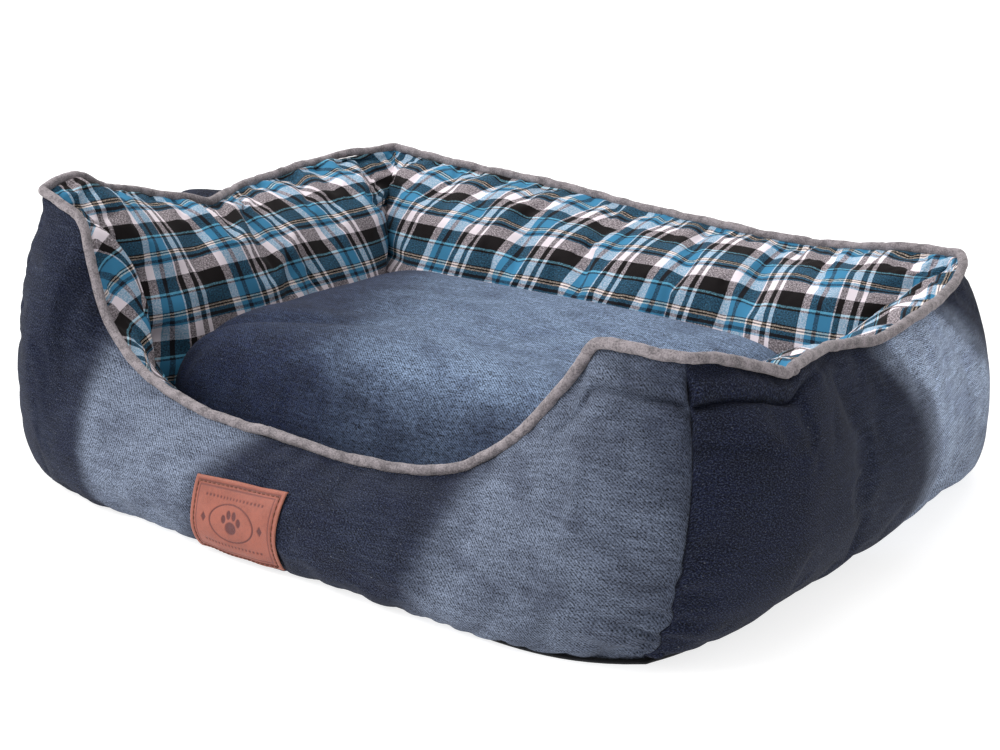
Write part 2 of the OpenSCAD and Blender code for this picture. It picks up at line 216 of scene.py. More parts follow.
def corner_pair(k, s, pairs):
    """the two values of the corner nearer to s, in the wall's own directions, in metres"""
    turn = 1 if k % 2 == 0 else -1
    before, after = pairs[k][::turn], pairs[(k + 1) % 4][::turn]
    return [np.where(s < 0, before[i], after[i]) * MM for i in range(2)]


def along(points, x, column):
    """smooth curve through a list's points"""
    p = np.array(points, float)
    px, py = p[:, 0], p[:, column]
    n = len(p)
    before = np.maximum(np.arange(n) - 1, 0)
    after = np.minimum(np.arange(n) + 1, n - 1)
    m = (py[after] - py[before]) / (px[after] - px[before])
    i = np.clip(np.searchsorted(px, x, side="right") - 1, 0, n - 2)
    w = px[i + 1] - px[i]
    t = (x - px[i]) / w
    return ((2 * t**3 - 3 * t**2 + 1) * py[i] + (t**3 - 2 * t**2 + t) * m[i] * w
            + (-2 * t**3 + 3 * t**2) * py[i + 1] + (t**3 - t**2) * m[i + 1] * w)


def place(k, u, v, z):
    """wall frame (along, outward, up) to bed frame"""
    x, y = [(u, -v), (v, u), (-u, v), (-v, -u)][k]
    return np.stack([x, y, z + 0 * x], -1)


def top_seam(k, s):
    """the wall's top seam at s, in the wall's frame"""
    out = along(TOP[k], s, 1) * MM
    z = lerp(STEP_HEIGHT, WALL_HEIGHT, along(TOP[k], s, 2))
    pull = corner_pair(k, s, CORNER_PULL)
    g = np.abs(s) ** CORNER_POWER
    return s * (half_u(k) - pull[0] * g), half_v(k) + out - pull[1] * g, z


def outer_section(k, s, g, low, seam):
    """Bezier points of the outer face's section: foot, belly, shoulder and seam"""
    u, v, z = seam
    corners = (CORNER_FOOT, CORNER_BELLY, CORNER_SHOULDER)
    foot, belly, shoulder = [corner_pair(k, s, pairs) for pairs in corners]
    belly_v = half_v(k) + lerp((FOOT_OUT[k] + BELLY_OUT[k]) * MM, belly[1], g)
    handle_v = lerp(*HANDLE_OUT, low)
    if k == RIGHT:
        belly_v = belly_v - RIGHT_FLATTER[0] * smooth(s, 0, .6)
        handle_v = handle_v - RIGHT_FLATTER[1] * smooth(s, 0, .6)
    handle_z = lerp(lerp(*HANDLE_UP, low), CORNER_HANDLE_UP, g)
    return [
        (s * (half_u(k) + foot[0]), half_v(k) + lerp(FOOT_OUT[k] * MM, foot[1], g), HEM + 0 * s),
        (s * (half_u(k) + belly[0]), belly_v, HEM + 0 * s),
        (u + s * shoulder[0], v + lerp(handle_v, shoulder[1], g), z + handle_z),
        (u, v, z),
    ]


def inner_section(k, s, g, low, seam):
    """Bezier points of the inner face's section: seam, roll, bulge and floor"""
    u, v, z = seam
    crease = corner_pair(k, s, CORNER_CREASE)
    corner_u, corner_v = half_u(k) - crease[0], half_v(k) - crease[1]
    roll_in = lerp(ROLL_IN[k], LOW_ROLL_IN, low)
    roll_z = z + lerp(lerp(ROLL_UP[k], LOW_ROLL_UP, low), CORNER_ROLL_UP, g)
    bulge_z = z * lerp(ROLL_SHARE[k], LOW_ROLL_SHARE, low)
    floor_v = lerp(half_v(k) - FLOOR_IN[k] * MM, corner_v + .003, g)
    return [
        (u, v, z),
        (u - s * CORNER_ROLL_IN * g, v - lerp(roll_in, CORNER_ROLL_IN, g), roll_z),
        (s * corner_u, lerp(half_v(k) - BULGE_IN[k] * MM, corner_v, g), bulge_z),
        (s * (corner_u + .003 * g), floor_v, FLOOR_FOOT + 0 * s),
    ]


def face(k, s, t, side):
    """outer face from the foot (t = 0) to the top seam, or inner face from the seam to the floor"""
    s, t = np.broadcast_arrays(np.asarray(s, float), np.asarray(t, float))
    g = np.abs(s) ** CORNER_POWER
    seam = top_seam(k, s)
    high_z, low_z = LOW_BETWEEN
    low = np.clip((high_z - seam[2]) / (high_z - low_z), 0, 1) if k == FRONT else 0 * s
    section = outer_section if side == OUTER else inner_section
    points = section(k, s, g, low, seam)
    r = 1 - t
    weights = [r**3, 3 * r * r * t, 3 * r * t * t, t**3]
    u, v, z = [sum(w * p[i] for w, p in zip(weights, points)) for i in range(3)]
    if side == OUTER:
        wave = SEAM_WAVE * value_noise(t / SEAM_WAVE_T + 5, 330) * (1 - smooth(t, .30, .70)) * np.abs(s) ** 50
        u = u + wave
        v = v - np.sign(s) * wave
    return place(k, u, v, z)


def mitre(k, s):
    """direction out of the wall, turning to the mitre at its ends"""
    g = np.sign(s) * np.abs(s) ** CORNER_POWER
    length = np.sqrt(g * g + 1)
    return place(k, g / length, 1 / length, 0 * s)


def face_normal(k, s, t, side):
    """direction out of a face, in the plane of the wall's section, times sqrt(2) at a mitred corner"""
    s, t = np.broadcast_arrays(np.asarray(s, float), np.asarray(t, float))
    step = .01
    d = face(k, s, np.minimum(t + step, 1), side) - face(k, s, np.maximum(t - step, 0), side)
    e = mitre(k, s)
    n = e * d[..., 2:3]
    n[..., 2] = -(d * e).sum(-1)
    n /= np.linalg.norm(n, axis=-1, keepdims=True)
    return n * lerp(1, math.sqrt(2), np.abs(s) ** CORNER_POWER)[..., None]


# ---------------------------------------------------------------- noise and folds
def cell_of(x):
    """the whole number under x, and the smooth share of the way to the next"""
    i = np.floor(x).astype(int)
    t = x - i
    return i, t * t * (3 - 2 * t)


def value_noise(x, seed):
    """smooth random curve, one bump for each unit of x, from -1 to 1"""
    table = np.random.RandomState(seed).uniform(-1, 1, 512)
    i, t = cell_of(x)
    return lerp(table[i % 512], table[(i + 1) % 512], t)


def value_noise2(x, y, seed):
    """smooth random height field, from -1 to 1"""
    table = np.random.RandomState(seed).uniform(-1, 1, (64, 64))
    i, tx = cell_of(x)
    j, ty = cell_of(y)
    low, high = [lerp(table[i % 64, row % 64], table[(i + 1) % 64, row % 64], tx) for row in (j, j + 1)]
    return lerp(low, high, ty)


def tucks(a, d, seed, span, spacing, depth, width, reach, lean=.3):
    """narrow tucks that start at a seam; a runs along the seam and d away from it, in metres"""
    rng = np.random.RandomState(seed)
    out = np.zeros_like(a)
    at = span[0] + spacing * rng.uniform(.2, .8)
    while at < span[1]:
        deep = depth * rng.uniform(.35, 1.2)
        wide = width * rng.uniform(.7, 1.5)
        far = reach * rng.uniform(.4, 1.5)
        tilt = lean * rng.uniform(-1, 1)
        across = (a - at - tilt * d) / (wide * (1 + 1.3 * d / far))
        out -= deep * np.exp(-across**2 - (d / far) ** 2)
        at += spacing * rng.uniform(.5, 1.6)
    return out


def fold(a, d, line, depth, width, lip, ends):
    """one long crease along the curve d = line(a), with a soft roll beside it"""
    off = d - line
    strength = smooth(a, *ends[:2]) * (1 - smooth(a, *ends[2:]))
    crease = -depth * np.exp(-np.abs(off / width) ** 1.5)
    roll = lip * np.exp(-((off + 2.2 * width) / (1.8 * width)) ** 2)
    return strength * (crease + roll)


# ---------------------------------------------------------------- meshes
def build_mesh(name, points, faces, uv=None, attributes=None):
    """mesh object from numpy arrays; faces is a list of index arrays with one width each"""
    mesh = bpy.data.meshes.new(name)
    mesh.vertices.add(len(points))
    mesh.vertices.foreach_set("co", np.ascontiguousarray(points, np.float32).ravel())
    loops = np.concatenate([f.ravel() for f in faces]).astype(np.int32)
    counts = np.concatenate([np.full(len(f), f.shape[1]) for f in faces])
    starts = np.concatenate([[0], np.cumsum(counts)[:-1]]).astype(np.int32)
    mesh.loops.add(len(loops))
    mesh.loops.foreach_set("vertex_index", loops)
    mesh.polygons.add(len(counts))
    mesh.polygons.foreach_set("loop_start", starts)
    mesh.update(calc_edges=True)
    mesh.validate()
    if uv is not None:
        layer = mesh.uv_layers.new(name="Cloth")
        index = np.zeros(len(mesh.loops), np.int32)
        mesh.loops.foreach_get("vertex_index", index)
        layer.data.foreach_set("uv", np.ascontiguousarray(uv[index], np.float32).ravel())
    for key, value in (attributes or {}).items():
        attribute = mesh.attributes.new(key, "FLOAT", "POINT")
        attribute.data.foreach_set("value", np.ascontiguousarray(value, np.float32))
    mesh.shade_smooth()
    obj = bpy.data.objects.new(name, mesh)
    bpy.context.scene.collection.objects.link(obj)
    return obj


def grid_faces(rows, columns, flip=False, first=0):
    r, c = np.meshgrid(np.arange(rows - 1), np.arange(columns - 1), indexing="ij")
    a = (first + r * columns + c).ravel()
    quads = np.stack([a, a + 1, a + columns + 1, a + columns], -1)
    return quads[:, ::-1] if flip else quads


def grid_normals(p):
    ds = np.gradient(p, axis=1)
    dt = np.gradient(p, axis=0)
    return unit(np.cross(ds, dt))


def sheet_area(p):
    ds = np.diff(p, axis=1)[:-1]
    dt = np.diff(p, axis=0)[:, :-1]
    return float(np.linalg.norm(np.cross(ds, dt), axis=-1).sum())


def read_rows(at, places, rows):
    """rows of numbers that stand at these places, read at others"""
    return np.stack([np.interp(at, places, column) for column in rows.T], -1)


def distance(grid, axis):
    """distance along a grid's rows or columns from the first point"""
    step = np.linalg.norm(np.diff(grid, axis=axis), axis=-1)
    return np.insert(np.cumsum(step, axis), 0, 0, axis)


def closed_pair(name, front, back, uv=None, attributes=None):
    """closed skin of two grids of points, joined along their rims"""
    rows, columns = front.shape[:2]
    count = rows * columns
    index = np.arange(count).reshape(rows, columns)
    edge = np.concatenate([index[0, :-1], index[:-1, -1], index[-1, :0:-1], index[:0:-1, 0]])
    after = np.roll(edge, -1)
    rim = np.stack([edge, edge + count, after + count, after], -1)
    faces = np.concatenate([grid_faces(rows, columns), grid_faces(rows, columns, True, count), rim])
    points = np.concatenate([front.reshape(-1, 3), back.reshape(-1, 3)])
    if uv is not None:
        uv = np.tile(uv.reshape(-1, 2), (2, 1))
    doubled = {key: np.tile(value.ravel(), 2) for key, value in (attributes or {}).items()}
    return build_mesh(name, points, [faces], uv, doubled)


def shell(name, p, thickness, uv, attributes=None):
    """closed sheet of cloth behind one grid of points"""
    thickness = np.broadcast_to(thickness, p.shape[:2])[..., None]
    return closed_pair(name, p, p - thickness * grid_normals(p), uv, attributes)


def skin(rings, closed=False, flip=False, laddered=False):
    """points and faces over rings of points; an open one is closed by fans, or by ladders of quads"""
    m, n = rings.shape[:2]
    i, j = np.meshgrid(np.arange(m if closed else m - 1), np.arange(n), indexing="ij")
    near, far = i * n, (i + 1) % m * n
    after = (j + 1) % n
    faces = [np.stack([near + j, near + after, far + after, far + j], -1).reshape(-1, 4)]
    points = rings.reshape(-1, 3)
    last = (m - 1) * n
    if laddered:
        i = np.arange(n // 2 - 1)
        ladder = np.stack([i, n - 1 - i, n - 2 - i, i + 1], -1)
        faces += [ladder[:, ::-1], ladder + last]
    elif not closed:
        points = np.concatenate([points, [rings[0].mean(0), rings[-1].mean(0)]])
        j = np.arange(n)
        after = (j + 1) % n
        faces.append(np.stack([np.full(n, m * n), after, j], -1))
        faces.append(np.stack([np.full(n, m * n + 1), last + j, last + after], -1))
    return points, [np.roll(f[:, ::-1], 1, 1) if flip else f for f in faces]


def tube(name, rings, **how):
    """mesh object of a skin over rings"""
    return build_mesh(name, *skin(rings, **how))


def circles(centres, radius, side, up, sides):
    """a circle of points round each centre, from side towards up"""
    angle = np.linspace(0, 2 * math.pi, sides, endpoint=False)[None, :, None]
    outwards = np.cos(angle) * side[:, None] + np.sin(angle) * up[:, None]
    return centres[:, None] + radius[..., None] * outwards


# ---------------------------------------------------------------- cloth simulation
def simulate(points, faces, pinned, growth):
    """cloth of these points, cut larger by growth, blown up from inside and held at the pinned ones"""
    obj = build_mesh("cloth_test", points, faces)
    group = obj.vertex_groups.new(name="held")
    group.add([int(i) for i in np.flatnonzero(pinned)], 1.0, "REPLACE")
    cloth = obj.modifiers.new("Cloth", "CLOTH")
    settings = cloth.settings
    for key, value in (
        ("quality", 5), ("mass", .3), ("tension_stiffness", 18), ("compression_stiffness", 18),
        ("shear_stiffness", 6), ("bending_stiffness", .6), ("air_damping", 3), ("vertex_group_mass", "held"),
        ("shrink_min", -growth), ("use_pressure", True), ("uniform_pressure_force", PRESSURE),
    ):
        setattr(settings, key, value)
    settings.effector_weights.gravity = 0
    scene = bpy.context.scene
    cloth.point_cache.frame_start = 1
    cloth.point_cache.frame_end = SIM_FRAMES
    for number in range(1, SIM_FRAMES + 1):
        scene.frame_set(number)
    shown = obj.evaluated_get(bpy.context.evaluated_depsgraph_get())
    moved = np.zeros(len(points) * 3, np.float32)
    shown.data.vertices.foreach_get("co", moved)
    bpy.data.objects.remove(obj)
    scene.frame_set(1)
    return moved.reshape(-1, 3).astype(float)


def blur(field, cells):
    """soft running mean of a grid along both of its axes"""
    reach = int(3 * cells) + 1
    x = np.arange(-reach, reach + 1)
    kernel = np.exp(-(x / cells) ** 2 / 2)
    kernel /= kernel.sum()
    for axis in (0, 1):
        pad = [(0, 0)] * field.ndim
        pad[axis] = (reach, reach)
        wide = np.pad(field, pad, mode="edge")
        field = np.apply_along_axis(lambda line: np.convolve(line, kernel, "valid"), axis, wide)
    return field


def resampler(fine, coarse):
    """matrix of cubic weights that reads a coarse row of values at the places of a fine row"""
    n = len(coarse)
    x = np.interp(fine, coarse, np.arange(n))
    i = np.clip(np.floor(x).astype(int), 0, n - 2)
    t = x - i
    weights = [
        -.5 * t + t**2 - .5 * t**3,
        1 - 2.5 * t**2 + 1.5 * t**3,
        .5 * t + 2 * t**2 - 1.5 * t**3,
        -.5 * t**2 + .5 * t**3,
    ]
    out = np.zeros((len(fine), n))
    for shift, w in zip([-1, 0, 1, 2], weights):
        np.add.at(out, (np.arange(len(fine)), np.clip(i + shift, 0, n - 1)), w)
    return out


# ---------------------------------------------------------------- one wall panel
class Panel:
    """One cloth face of a wall as a grid, with the folds that simulation and sewing put in it."""

    def __init__(self, k, side):
        self.k = k
        self.side = side
        self.coarse = self.grid(COARSE)
        self.fine = self.grid(FINE)
        self.ruler = self.lengths(self.fine)
        self.simulated = self.blow_up()

    def grid(self, cell):
        columns = int(2 * half_u(self.k) * LENGTH_SHARE / cell)
        rows = int(SECTION[self.side] / cell)
        even = np.linspace(-1, 1, columns)
        s = np.sin(even * math.pi / 2 * .999) * .35 + even * .65
        s[0], s[-1] = -1, 1
        return s, np.linspace(0, 1, rows)

    def points(self, which):
        """the plain face at a grid's places"""
        s, t = which
        return face(self.k, s[None, :], t[:, None], self.side)

    def normals(self, which):
        s, t = which
        return face_normal(self.k, s[None, :], t[:, None], self.side)

    def lengths(self, which):
        """distance along the wall from its middle for each s, and along the section for each t and s"""
        p = self.points(which)
        across = np.linalg.norm(np.diff(p, axis=1), axis=-1).mean(0)
        a = np.concatenate([[0], np.cumsum(across)])
        return a - a[-1] / 2, distance(p, 0)

    def measure(self, which):
        """the same read off at other places: along, and from the seam and from the foot"""
        s, t = which
        a, rise = self.ruler
        across = resampler(s, self.fine[0])
        whole = across @ rise[-1]
        rise = resampler(t, self.fine[1]) @ rise @ across.T
        rest = whole[None, :] - rise
        a = np.broadcast_to((across @ a)[None, :], rise.shape)
        return (a, rest, rise) if self.side == OUTER else (a, rise, rest)

    def from_ends(self, a):
        """distance from the wall's left and right end"""
        return a - self.ruler[0][0], self.ruler[0][-1] - a

    def blow_up(self):
        """how the simulation moves the coarse grid, without the broad swelling that the shape has already"""
        p = self.points(self.coarse)
        rows, columns = p.shape[:2]
        pinned = np.ones((rows, columns), bool)
        pinned[1:-1, 1:-1] = False
        start = p + self.folds(self.coarse)[..., None] * self.normals(self.coarse)
        moved = simulate(start.reshape(-1, 3), [grid_faces(rows, columns)], pinned.ravel(), GROWTH[self.side])
        shift = moved.reshape(p.shape) - start
        return shift - BROAD_LOSS * blur(shift, BROAD / COARSE)

    def folds(self, which):
        """height of the sewn folds over the plain face"""
        a, from_seam, from_foot = self.measure(which)
        left, right = self.from_ends(a)
        outer = self.side == OUTER
        seed = 10 * self.k + (0 if outer else 5)
        rough = .6 if outer else 1
        h = rough * .0016 * value_noise2(a / .06 + 9, from_seam / .05, seed + 1)
        h += rough * .0007 * value_noise2(a / .022, from_seam / .03, seed + 2)
        width = (self.ruler[0][0], self.ruler[0][-1])
        up, height = (from_foot, (0, .24)) if outer else (from_seam, (0, .16))
        edges = [(a, from_seam, width), (a, from_foot, width), (up, left, height), (up, right, height)]
        for i, ((run, off, span), sizes) in enumerate(zip(edges, GATHERS[self.side])):
            if i == 0 and self.k == BACK and not outer:
                sizes = BACK_SEAM_GATHERS
            h += tucks(run, off, seed + 3 + i, span, *sizes)
        if outer:
            h += self.own_folds(a, left, right, from_seam, from_foot)
        end = np.minimum(left, right)
        h *= 1 - np.exp(-(end / .004) ** 2)
        h -= .0035 * np.exp(-end / .0045) * smooth(from_seam, .002, .014)
        neck = .003 if outer else .014 if self.k == FRONT else .008
        return h * smooth(from_seam, 0, neck) * smooth(from_foot, 0, .003)

    def droop(self, which):
        """how far the cloth over the lip's fold hangs down"""
        a, from_seam, _ = self.measure(which)
        if self.side == INNER or self.k not in LIP_RISE:
            return 0 * a
        left, right = self.from_ends(a)
        corner = right if self.k == FRONT else left
        off = from_seam - (LIP - LIP_RISE[self.k] * corner)
        depth = LIP_DROOP[self.k] * smooth(-corner, *LIP_DROOP_REACH[self.k])
        return -depth * np.exp(-((off + .0045) / .0042) ** 2) * smooth(from_seam, 0, .008)

    def own_folds(self, a, left, right, from_seam, from_foot):
        """the large folds that only one place of the bed has"""
        h = 0 * a
        foot_only = 1 - smooth(from_foot, .05, .105)
        if self.k == FRONT:
            h += foot_only * tucks(from_foot, right, 301, (.004, .12), .0105, .0042, .0025, .034, .35)
            line = LIP - LIP_RISE[FRONT] * right
            h += fold(-right, from_seam, line, .0055, .0028, .0030, (-.150, -.035, .5, .6))
        if self.k == RIGHT:
            h += foot_only * tucks(from_foot, left, 302, (.004, .12), .0105, .0042, .0025, .040, .35)
            line = LIP - LIP_RISE[RIGHT] * left
            h += fold(left, from_seam, line, .0070, .0030, .0042, (-.02, -.01, .07, .165))
            h += fold(left, from_seam, .046 + .10 * left, .0025, .0050, .0015, (-.02, -.01, .04, .09))
        if self.k == LEFT:
            swell = np.exp(-((a - SWELL_AT) / .046) ** 2) * np.exp(-((from_seam - .024) / .018) ** 2)
            h += SWELL * swell * smooth(from_seam, 0, .012)
        return h

    def surface(self, which):
        """the finished face"""
        s, t = which
        across, up = resampler(s, self.coarse[0]), resampler(t, self.coarse[1])
        shift = np.einsum("ij,jkc,lk->ilc", up, self.simulated, across)
        moved = self.points(which) + self.folds(which)[..., None] * self.normals(which) + shift
        moved[..., 2] += self.droop(which)
        return moved

    def moved_in(self, which, inset):
        """the finished face moved in by inset; further, in its section, where the wall runs steeply"""
        p = self.surface(which)
        n = self.normals(which)
        slope = np.abs((unit(n) * grid_normals(p)).sum(-1, keepdims=True))
        ends = .002 * smooth(np.abs(which[0]), .93, .97)[None, :, None]
        return p - (inset + ends) / np.clip(slope, .6, 1) * n

    def uv(self, which):
        """place in the cloth: along and up; a lining's grain is pulled out of line by its gathers"""
        a, _, v = self.measure(which)
        if self.side == INNER:
            middle, squeeze, high, slack, leans = WEAVE[self.k]
            v = v + slack * smooth(v, .125, .165) - high
            lean = np.interp(a, *leans)
            u = a - middle
            a = u * (1 - squeeze * smooth(u, .0, .08)) + lean * v
        return np.stack([a, v], -1)


# ---------------------------------------------------------------- materials
MATERIALS = {}


class Graph:
    """Short way to write the nodes of a material or the world; a material is kept under its slot's name."""

    def __init__(self, name, kind=bpy.data.materials, shader="Principled BSDF"):
        self.owner = kind.new(name)
        self.owner.use_nodes = True
        self.tree = self.owner.node_tree
        self.shader = self.tree.nodes[shader]
        self.name = name

    def add(self, kind, inputs=None, **settings):
        node = self.tree.nodes.new("ShaderNode" + kind)
        for key, value in settings.items():
            setattr(node, key, value)
        for key, value in (inputs or {}).items():
            self.put(node, key, value)
        return node

    def put(self, node, key, value):
        socket = node.inputs[key]
        if isinstance(value, bpy.types.NodeSocket):
            self.tree.links.new(value, socket)
        else:
            socket.default_value = value

    def maths(self, operation, a, b=0.0, c=0.0):
        return self.add("Math", {0: a, 1: b, 2: c}, operation=operation).outputs[0]

    def plus(self, a, b):
        return self.maths("ADD", a, b)

    def times(self, a, b):
        return self.maths("MULTIPLY", a, b)

    def vary(self, base, noise, amount):
        """base, raised where the noise is above its middle and lowered elsewhere"""
        return self.maths("MULTIPLY_ADD", self.maths("SUBTRACT", noise, .5), amount, base)

    def share(self, a, b, part):
        return self.plus(self.times(a, part), self.times(b, 1 - part))

    def between(self, x, low, high, to_low=0.0, to_high=1.0):
        node = self.add("MapRange", {0: x, 1: low, 2: high, 3: to_low, 4: to_high})
        node.interpolation_type = "SMOOTHSTEP"
        return node.outputs[0]

    def mix(self, factor, a, b, blend="MIX"):
        node = self.add("Mix", data_type="RGBA", blend_type=blend)
        node.clamp_factor = True
        for key, value in ((0, factor), (6, a), (7, b)):
            self.put(node, key, value)
        return node.outputs[2]

    def shaded(self, colour, level):
        grey = self.add("CombineXYZ", {0: level, 1: level, 2: level}).outputs[0]
        return self.mix(1.0, colour, grey, "MULTIPLY")

    def noise(self, vector, scale, detail=2.0, roughness=.5):
        """noise of one scale, or of a scale for each direction"""
        if isinstance(scale, tuple):
            stretch = scale if len(scale) == 3 else (*scale, 1.0)
            vector = self.add("VectorMath", {0: vector, 1: stretch}, operation="MULTIPLY").outputs[0]
            scale = 1.0
        inputs = {"Vector": vector, "Scale": scale, "Detail": detail, "Roughness": roughness}
        return self.add("TexNoise", inputs).outputs[0]

    def stripes(self, x, bands):
        """colour bands from x = 0 to 1, each as wide as its share of their sum"""
        node = self.add("ValToRGB", {0: x})
        ramp = node.color_ramp
        ramp.interpolation = "CONSTANT"
        while len(ramp.elements) > 1:
            ramp.elements.remove(ramp.elements[-1])
        total = sum(width for width, _ in bands)
        ramp.elements[0].position = 0.0
        ramp.elements[0].color = bands[0][1]
        at = bands[0][0]
        for width, colour in bands[1:]:
            ramp.elements.new(at / total).color = colour
            at += width
        return node.outputs[0]

    def cloth(self):
        """place in the cloth, and its parts along and up"""
        uv = self.add("UVMap", uv_map="Cloth").outputs[0]
        split = self.add("SeparateXYZ", {0: uv})
        return uv, split.outputs[0], split.outputs[1]

    def solid(self):
        return self.add("TexCoord").outputs["Object"]

    def attribute(self, name):
        return self.add("Attribute", attribute_name=name).outputs["Fac"]

    def bump(self, height, distance, strength):
        inputs = {"Height": height, "Distance": distance, "Strength": strength}
        self.put(self.shader, "Normal", self.add("Bump", inputs).outputs[0])

    def finish(self, colour, roughness, **settings):
        self.put(self.shader, "Base Color", colour)
        self.put(self.shader, "Roughness", roughness)
        for key, value in settings.items():
            self.put(self.shader, key.replace("_", " "), value)
        MATERIALS[self.name] = self.owner


def rgb(r, g, b):
    """a colour as it looks on screen, 0 to 255, to the renderer's linear values"""
    return tuple((x / 255) ** 2.2 for x in (r, g, b)) + (1.0,)


def shown(r, g, b):
    """a colour kept as it looks on screen, for stripes that are mixed before Gamma makes them linear"""
    return (r / 255, g / 255, b / 255, 1.0)


DENIM_DARK = rgb(17, 21, 39)
DENIM_LIGHT = rgb(109, 118, 135)
# Pale denim over the lightest wash; over 1, on the right wall's top, it is a painted highlight
DENIM_PALE_AND_PAINTED_HIGHLIGHT = rgb(172, 188, 214)
DENIM_TINT = rgb(104, 98, 100)
THREAD = rgb(98, 108, 132)
FLECK = rgb(150, 152, 156)
TWILL = .0019
# Uneven washing and lumps in the yarn: scale along and up, detail, roughness and strength
WASHING = [((60, 420), 3.0, .6, .34), ((22, 30), 3.0, .6, .26), ((90, 900), 2.0, .7, .16)]
SLUBS = ((45, 330), 3.0, .6, .17)
KNOTS = ((230, 330), 3.0, .8)
# Light spots in the weave: scale, detail, roughness, the noise where they start and are whole, share, yarn
SPOTS = [((800, 1150), 2.0, .8, .45, .74, .40, THREAD), ((500, 800), 0.0, .5, .80, .88, .30, FLECK)]


def denim(name, dark, light, coarse):
    """twill: dark dye washed out as the per-vertex value rises to 1 and paler above it, with slubs, knots and
    light spots; the value also holds painted shade and painted light
    """
    g = Graph(name)
    uv, u, v = g.cloth()
    # the dye's fade, with painted shade and painted light in it
    worn = g.attribute("fade_and_painted_light")
    for *look, amount in WASHING:
        worn = g.vary(worn, g.noise(uv, *look), amount)
    base = g.mix(g.between(worn, .0, 1.0), dark, light)
    # above .95 the pale colour comes in: on the right wall's top it is a painted highlight
    base = g.mix(g.between(worn, .95, 1.5), base, DENIM_PALE_AND_PAINTED_HIGHLIGHT)
    tint = g.noise(uv, (30, 45), 3.0)
    base = g.mix(g.between(tint, .44, .66, 0, .40), base, DENIM_TINT, "SOFT_LIGHT")
    smudge = g.noise(uv, (55, 28), 3.0, .6)
    base = g.mix(g.between(smudge, .42, .70, 0, .22), base, dark)
    diagonal = g.plus(g.times(u, .8), v)
    wobble = g.noise(uv, (90, 90), 1.0)
    phase = g.maths("MULTIPLY_ADD", wobble, 2.5, g.times(diagonal, 2 * math.pi / TWILL))
    twill = g.maths("MULTIPLY_ADD", g.maths("SINE", phase), .5, .5)
    grain = g.noise(uv, (700, 860), 2.0, .8)
    shade = g.plus(g.between(twill, 0, 1, .62, 1.30), g.between(grain, .36, .64, -.62, .62))
    for *look, amount in (SLUBS, (*KNOTS, coarse)):
        shade = g.plus(shade, g.between(g.noise(uv, *look), .34, .66, -amount, amount))
    woven = g.shaded(base, g.maths("MAXIMUM", shade, .08))
    for *look, low, high, part, yarn in SPOTS:
        spot = g.between(g.noise(uv, *look), low, high)
        woven = g.mix(g.times(spot, part), woven, yarn)
    g.bump(g.plus(g.times(twill, .5), grain), .0005, .6)
    g.finish(woven, .9, Sheen_Weight=.02, Sheen_Roughness=.6, Specular_IOR_Level=.15)


# Plaid: share of one repeat that each stripe takes, and its yarn
BLACK = shown(24, 19, 20)
WHITE = shown(238, 226, 232)
BLUE = shown(62, 127, 164)
CREAM = shown(244, 226, 206)
SKY = shown(120, 190, 215)
DEEP = shown(32, 36, 46)
WARP = [(.31, BLACK), (.10, WHITE), (.085, BLUE), (.058, DEEP), (.148, BLUE), (.016, WHITE),
        (.072, BLACK), (.098, WHITE), (.06, BLACK), (.05, WHITE)]
WEFT = [(.225, BLACK), (.033, SKY), (.030, BLACK), (.22, BLUE), (.020, BLACK), (.024, CREAM),
        (.019, BLACK), (.024, CREAM), (.055, BLUE), (.050, DEEP), (.03, BLUE), (.225, WHITE)]
WARP_REPEAT = .0664
WEFT_REPEAT = .0486
PLAID_RIB = .0009


def plaid():
    g = Graph("plaid_cotton")
    uv, u, v = g.cloth()
    fuzz = g.noise(uv, (900, 900), 1.0)
    yarns = []
    for at, repeat, bands in ((u, WARP_REPEAT, WARP), (v, WEFT_REPEAT, WEFT)):
        soft = g.vary(g.times(at, -1), fuzz, .0006)
        yarns.append(g.stripes(g.maths("FRACT", g.maths("DIVIDE", soft, repeat)), bands))
    rib = g.maths("SINE", g.times(g.plus(u, v), 2 * math.pi / PLAID_RIB))
    cross = g.noise(uv, (800, 800), 2.0, .7)
    on_top = g.vary(g.maths("MULTIPLY_ADD", rib, .16, .5), cross, 1.5)
    cloth = g.add("Gamma", {0: g.mix(on_top, *yarns), 1: 2.2}).outputs[0]
    worn = g.between(g.noise(uv, (30, 30)), .3, .7, .88, 1.06)
    g.bump(g.plus(g.times(rib, .4), cross), .0003, .45)
    g.finish(g.shaded(cloth, worn), .88, Sheen_Weight=.02, Sheen_Roughness=.6, Specular_IOR_Level=.2)


def plush():
    g = Graph("grey_plush")
    p = g.solid()
    tone = g.share(g.noise(p, 900.0, 3.0, .7), g.noise(p, 130.0), .6)
    colour = g.mix(g.between(tone, .36, .62), rgb(88, 83, 86), rgb(147, 139, 142))
    g.bump(tone, .0008, .7)
    g.finish(colour, .95, Sheen_Weight=.35, Sheen_Roughness=.45, Sheen_Tint=rgb(205, 198, 198))


def leather():
    g = Graph("tan_leather")
    p = g.solid()
    cells = g.add("TexVoronoi", {"Vector": p, "Scale": 900.0}, feature="DISTANCE_TO_EDGE").outputs[0]
    grain = g.noise(p, 500.0, 4.0, .65)
    tone = g.share(grain, g.noise(p, 45.0, 3.0), .5)
    colour = g.mix(g.between(tone, .3, .7), rgb(128, 68, 54), rgb(158, 90, 74))
    colour = g.mix(g.times(g.attribute("worn"), .45), colour, rgb(180, 120, 98))
    colour = g.mix(g.times(g.attribute("burnt"), .88), colour, rgb(76, 32, 36))
    g.bump(g.plus(g.between(cells, 0, .12), g.times(grain, .5)), .00025, .5)
    g.finish(colour, g.between(grain, .3, .7, .42, .60))


